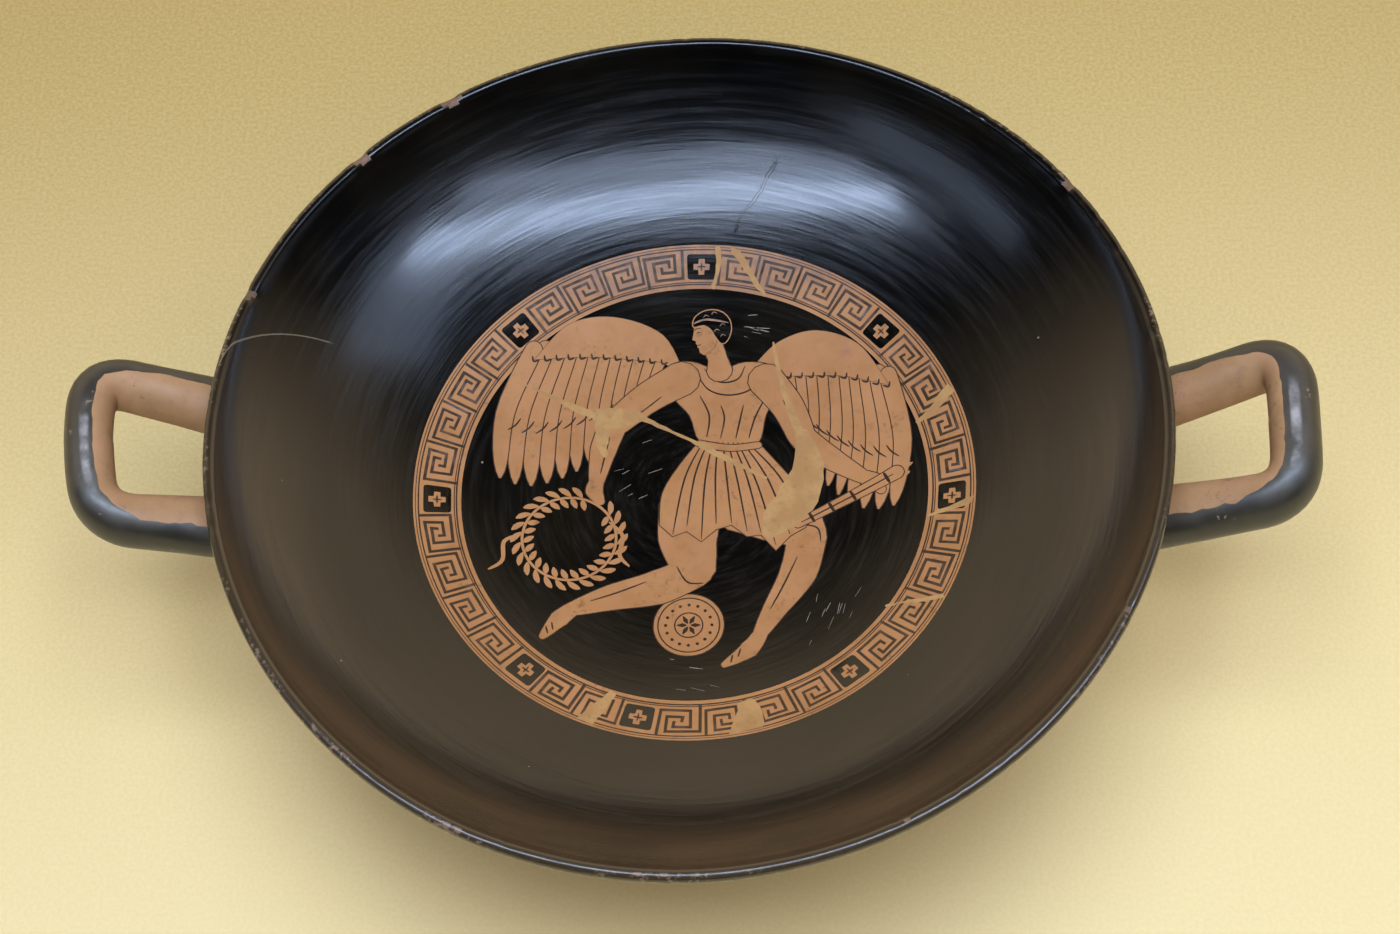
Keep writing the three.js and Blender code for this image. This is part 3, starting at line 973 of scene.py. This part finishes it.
def handle_gloss_material():
    """The same slip, chipped by hands, greyed on the rods' upper side by wear and a painted sheen, with a
    painted bluish highlight on their crown near the loop's middle.
    """
    nodes = Finish("handle_gloss")
    cloud = nodes.noise(12, 4, 0.6)
    up = nodes.split(nodes.add("NewGeometry").outputs["Normal"])[2]
    across = nodes.split(nodes.place)[1]
    chips = nodes.times(nodes.ramp(nodes.noise(1.6, 4, 0.7), 0.56, 0.62),
                        nodes.ramp(nodes.noise(9, 2, offset=21), 0.62, 0.68))
    # Grey on the rods' upper side, most towards the camera: partly wear, partly a painted sheen.
    wear_and_sheen = nodes.times(nodes.ramp(up, 0.45, 0.95), nodes.ramp(across, 12, -14, 0.25, 1),
                         nodes.ramp(nodes.noise(7, 4, 0.6, offset=5), 0.3, 0.6, 0.5, 1.0))
    # A painted bluish highlight on the rods' crown near the middle of the loop.
    painted_highlight = nodes.times(nodes.ramp(up, 0.955, 1.0), nodes.band(across, -5, 15),
                         nodes.ramp(nodes.noise(6, 3, 0.55, offset=9), 0.3, 0.65))
    colour = nodes.mix(
        (0.009, 0.009, 0.009),
        (nodes.ramp(cloud, 0.35, 0.65), (0.022, 0.021, 0.020)),
        (chips, (0.30, 0.23, 0.16)),
        (wear_and_sheen, (0.072, 0.071, 0.069)),
        (painted_highlight, (0.30, 0.31, 0.37)))
    nodes.set(Base_Color=colour, Roughness=nodes.ramp(cloud, 0.3, 0.7, 0.36, 0.5), IOR=1.55,
              Coat_Weight=0.25, Coat_Roughness=0.3)
    nodes.bump((nodes.noise(5, 3), 0.12), (nodes.noise(1.4, 3), 0.015), (chips, -0.08))
    return nodes.material


def clay_material(name, pale, deep, pink, roughness):
    """Bare clay, clouded, pitted, scuffed and stained, and darker in patches on the side away from the
    camera.
    """
    nodes = Finish(name)
    pits = specks(nodes, 3.2, 0.22)
    scuff = nodes.times(nodes.ramp(nodes.noise(1.8, 6, 0.75, offset=13), 0.52, 0.66),
                        nodes.ramp(nodes.noise(10, 2, offset=33), 0.54, 0.66, 0, 0.8))
    # Darker in patches towards the side away from the camera.
    far_darkening = nodes.times(nodes.ramp(nodes.split(nodes.place)[1], 50, 66),
                            nodes.ramp(nodes.noise(5, 4, 0.7), 0.35, 0.6), 0.7)
    stain = nodes.ramp(nodes.noise(13, 5, 0.7, offset=70), 0.6, 0.8, 0, 0.5)
    colour = nodes.mix(
        deep,
        (nodes.ramp(nodes.noise(22, 4, 0.6), 0.35, 0.68), pale),
        (nodes.ramp(nodes.noise(3, 4, 0.65), 0.5, 0.78, 0, 0.4), darker(deep, 0.62)),
        (nodes.times(pits, 0.75), (0.09, 0.045, 0.025)),
        (nodes.ramp(nodes.noise(8, 4, 0.6, offset=90), 0.45, 0.7, 0, 0.6), pink),
        (scuff, darker(deep, 0.5)),
        (nodes.maths("MAXIMUM", stain, far_darkening), (0.16, 0.095, 0.08)))
    nodes.set(Base_Color=colour, IOR=1.45,
              Roughness=nodes.ramp(nodes.noise(6), 0.3, 0.7, roughness, roughness + 0.14))
    nodes.bump((nodes.noise(1.6, 4), 0.03), (pits, -0.05), (nodes.noise(9, 2), 0.08))
    return nodes.material


def slip_material(name, dark, thin, coverage):
    """Painted lines that are dark where the slip is thick and brown where it is thin or worn."""
    nodes = Finish(name)
    worn = nodes.times(nodes.ramp(nodes.noise(4.5, 5, 0.65, offset=30), coverage, coverage + 0.22),
                       nodes.ramp(nodes.split(nodes.place)[1], -30, 60, 0.55, 1.0))
    nodes.set(Base_Color=nodes.mix(dark, (worn, thin)), Roughness=nodes.ramp(worn, 0, 1, 0.36, 0.6))
    nodes.bump((nodes.noise(1.2, 3), 0.02))
    return nodes.material


def fill_material(name, pale, deep, roughness):
    """A dull, grainy surface: plaster, a chip's clay or a scratch."""
    nodes = Finish(name)
    colour = nodes.mix(
        deep,
        (nodes.ramp(nodes.noise(7, 5, 0.6, offset=11), 0.35, 0.65), pale),
        (nodes.ramp(nodes.noise(1.5, 3), 0.55, 0.75, 0, 0.5), darker(deep, 0.7)))
    nodes.set(Base_Color=colour, Roughness=roughness)
    nodes.bump((nodes.noise(2.4, 4), 0.12), (nodes.noise(0.8, 3), 0.03))
    return nodes.material


def make_materials():
    return {
        "gloss": gloss_material(),
        "clay": clay_material("reserved_clay", (0.355, 0.175, 0.073), (0.305, 0.143, 0.056),
                              (0.36, 0.175, 0.088), 0.42),
        "line": slip_material("relief_line", (0.022, 0.011, 0.007), (0.09, 0.043, 0.025), 0.52),
        "key": slip_material("key_slip", (0.03, 0.016, 0.008), (0.10, 0.052, 0.036), 0.46),
        "plaster": fill_material("mend", (0.37, 0.22, 0.088), (0.30, 0.165, 0.062), 0.7),
        "chip": fill_material("chipped_clay", (0.17, 0.10, 0.07), (0.09, 0.055, 0.04), 0.6),
        "worn": fill_material("worn_slip", (0.30, 0.17, 0.12), (0.14, 0.09, 0.075), 0.6),
        "scratch": fill_material("scratch", (0.26, 0.24, 0.22), (0.12, 0.11, 0.10), 0.6),
        "handle_clay": clay_material("handle_clay", (0.37, 0.225, 0.13), (0.29, 0.17, 0.09),
                                     (0.37, 0.205, 0.135), 0.55),
        "handle_gloss": handle_gloss_material(),
    }


# ---- the cup

def lip_chips():
    """The chips with a few dozen small ones, closest together at the upper right."""
    chips = list(CHIPS)
    for _ in range(SMALL_CHIPS):
        angle = random.choice((random.gauss(42, 16), random.uniform(0, 360)))
        chips.append((angle, random.uniform(0.9, 2.0), random.uniform(0.15, 0.45)))
    return chips


def chip_depth(chips, angle, height):
    """How much of the lip is gone at an angle and a height."""
    near_top = max(0, 1 - (CUP_HEIGHT - height) / CHIP_REACH)
    depth = 0
    for middle, width, deep in chips:
        away = (angle - middle + 180) % 360 - 180
        arc = math.radians(away) * RIM_RADIUS / (width / 2)
        depth = max(depth, deep * math.exp(-arc * arc))
    return depth * near_top


def turned_body(slots):
    """Rings of points from the section, and their faces with slots."""
    rings = body_section()[1:]
    chips = lip_chips()
    gone = [[chip_depth(chips, 360 * i / AROUND, point.y) if point.y > CUP_HEIGHT - CHIP_REACH else 0
             for i in range(AROUND)] for point, _ in rings]
    centre = Vector((MIDDLE_RIM, CUP_HEIGHT - LIP_HALF_WALL))
    points = [Vector((0, 0, HOLLOW_TOP))]
    for (point, _), depths in zip(rings, gone):
        for i, depth in enumerate(depths):
            pulled = point + (centre - point).normalized() * depth * CHIP_PULL if depth else point
            points.append(polar(pulled.x, 360 * i / AROUND).to_3d() + Vector((0, 0, pulled.y)))
    faces, kinds = [], []
    for i in range(AROUND):
        after = (i + 1) % AROUND
        faces.append([0, 1 + after, 1 + i])
        kinds.append(slots[rings[0][1]])
        for k in range(len(rings) - 1):
            a, b = 1 + k * AROUND, 1 + (k + 1) * AROUND
            faces.append([a + i, a + after, b + after, b + i])
            kinds.append(slots[strip_kind(rings[k], rings[k + 1], i, gone[k + 1][i] + gone[k][after])])
    return points, faces, kinds


def strip_kind(before, ring, i, gone):
    """The slot of one face: chipped clay, a bare panel behind a handle, or what the section says."""
    if gone > BARE_CHIP:
        return "chip"
    radius, height = ring[0]
    across = radius * math.sin(math.radians(360 * (i + 0.5) / AROUND))
    outside = before[0].x < radius and height > STEM_TOP
    if outside and PANEL_INNER < radius < PANEL_OUTER and abs(across) < PANEL_HALF_WIDTH:
        return "handle_clay"
    return ring[1]


def uneven(point):
    """A hand-made surface's slow unevenness, none where the cup stands."""
    if point.z < 1:
        return point
    spot = point / UNEVEN_SPAN
    shift = Vector([noise.noise(spot + Vector(apart)) for apart in ((0, 0, 0), (40, 0, 0), (0, 40, 0))])
    return point + shift * UNEVEN_DEPTH


def inside_box(points):
    """Points in metres, eased in along each axis so that none lies outside the frame's box."""
    shares = []
    for axis in range(3):
        low, high = min(p[axis] for p in points) * UNIT, max(p[axis] for p in points) * UNIT
        share = min(1, cad_high[axis] / high)
        shares.append(min(share, cad_low[axis] / low) if low < -UNIT else share)
    ease = Matrix.Diagonal(shares)
    return [ease @ p * UNIT for p in points]


def make_cup():
    materials = make_materials()
    slots = {name: i for i, name in enumerate(materials)}
    points, faces, face_slots = turned_body(slots)
    plan, triangles, kinds, edge = picture_mesh(picture(), slots)
    last_ring = len(points) - AROUND
    place = {index: last_ring + source for source, index in edge.items()}
    for index, spot in enumerate(plan):
        if index not in place:
            place[index] = len(points)
            points.append(Vector((spot.x, spot.y, floor_height(spot.length))))
    faces += [[place[i] for i in triangle] for triangle in triangles]
    face_slots += kinds
    points = [uneven(Vector((p.x, p.y, sag(*p)))) for p in points]
    for handle in HANDLES:
        more, more_faces, more_slots = handle_mesh(handle, slots)
        faces += [[len(points) + i for i in face] for face in more_faces]
        points += more
        face_slots += more_slots
    mesh = bpy.data.meshes.new("kylix")
    mesh.from_pydata(inside_box(points), [], faces)
    for name in materials:
        mesh.materials.append(materials[name])
    mesh.polygons.foreach_set("material_index", face_slots)
    mesh.polygons.foreach_set("use_smooth", [True] * len(faces))
    mesh.update()
    cup = bpy.data.objects.new("kylix", mesh)
    bpy.context.scene.collection.objects.link(cup)
    return cup


cup = make_cup()
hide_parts("kylix_cup")
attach(cup, "root")


# ---- floor, light and camera

def make_floor():
    """A plain floor with painted shade, its colour darker away from the camera."""
    bpy.ops.mesh.primitive_plane_add(size=8, location=(0, 0, cad_low.z))
    floor = bpy.context.object
    floor.name = "floor"
    nodes = Finish("floor")
    grain = nodes.noise(1.1, 3, 0.6)
    # Painted shade: the floor's colour darkens away from the camera.
    painted_falloff = nodes.maths("DOT_PRODUCT", nodes.place, (0.05, -1, 0), vector=True)
    colour = nodes.mix((0.395, 0.285, 0.088), (nodes.ramp(painted_falloff, -260, 170), (0.75, 0.65, 0.385)),
                       (nodes.ramp(grain, 0.3, 0.7, 0, 0.12), (0.95, 0.9, 0.75)))
    nodes.set(Base_Color=colour, Roughness=0.85)
    nodes.bump((grain, 0.05))
    floor.data.materials.append(nodes.material)


def area_light(name, place, turn, size, power, colour):
    """A rectangle of light, in metres, degrees and watts."""
    data = bpy.data.lights.new(name, "AREA")
    data.shape = "RECTANGLE"
    data.size, data.size_y = size
    data.energy = power
    data.color = colour
    lamp = bpy.data.objects.new(name, data)
    lamp.location = place
    lamp.rotation_euler = [math.radians(a) for a in turn]
    bpy.context.scene.collection.objects.link(lamp)
    return lamp


def make_lights():
    """Four lights that only show as reflections in the slip, and two that only light."""
    cool = (0.58, 0.72, 1.0)
    for name, place, turn, size, power in (
            ("strip", (0.12, -0.26, 1.2), (13, 0, 4), (2.0, 0.16), 17.5),
            ("strip_second", (0.1, -0.5, 1.2), (22, 0, 0), (1.7, 0.12), 4.2),
            ("side_window", (-1.45, -0.6, 1.2), (-51, 9, 124), (1.3, 0.3), 1.9),
            ("glow", (0.97, 0.1, 1.2), (-5, 38, 0), (0.6, 0.5), 1.9)):
        area_light(name, place, turn, size, power, cool).visible_diffuse = False
    for name, place, turn, size, power, colour in (
            ("overhead", (0.05, -0.1, 1.5), (4, 2, 0), (0.9, 0.9), 23, (0.86, 0.95, 1.02)),
            ("fill", (0.3, -0.8, 1.4), (29, 12, 0), (1.0, 1.0), 10, (1.0, 0.87, 0.66))):
        area_light(name, place, turn, size, power, colour).visible_glossy = False


def make_world():
    """A room that is warm low down behind the cup, and dark in front of it and overhead."""
    world = bpy.data.worlds.new("room")
    nodes = Nodes(world)
    axes = nodes.split(nodes.add("TexCoord").outputs["Generated"])
    behind = nodes.ramp(axes[1], 0.05, 0.5, kind="LINEAR")
    low_down = nodes.ramp(axes[2], 0.84, 0.6, kind="LINEAR")
    light = nodes.mix((0.012, 0.012, 0.014), (nodes.times(behind, low_down), (1.08, 0.83, 0.54)))
    nodes.put(nodes.tree.nodes["Background"].inputs[0], light)
    bpy.context.scene.world = world


def make_camera():
    """The camera looks down at the cup from the side away from +Y, turned a little off its aim."""
    azimuth, elevation, distance = math.radians(6.7), math.radians(59.5), 583
    back = Vector((math.sin(azimuth) * math.cos(elevation), -math.cos(azimuth) * math.cos(elevation),
                   math.sin(elevation)))
    right = Vector((math.cos(azimuth), math.sin(azimuth), 0))
    place = Vector((0, 0, CUP_HEIGHT)) + back * distance
    pose = Matrix((right, back.cross(right), back)).transposed()
    for degrees, axis in ((-0.2, "Y"), (-1.33, "X"), (-6.85, "Z")):
        pose @= Matrix.Rotation(math.radians(degrees), 3, axis)
    data = bpy.data.cameras.new("camera")
    data.sensor_width = 36
    data.lens = 61.7
    data.clip_start = 0.01
    camera = bpy.data.objects.new("camera", data)
    camera.matrix_world = Matrix.Translation(place * UNIT) @ pose.to_4x4()
    bpy.context.scene.collection.objects.link(camera)
    bpy.context.scene.camera = camera


make_floor()
make_lights()
make_world()
make_camera()
bpy.context.scene.view_settings.view_transform = "Standard"
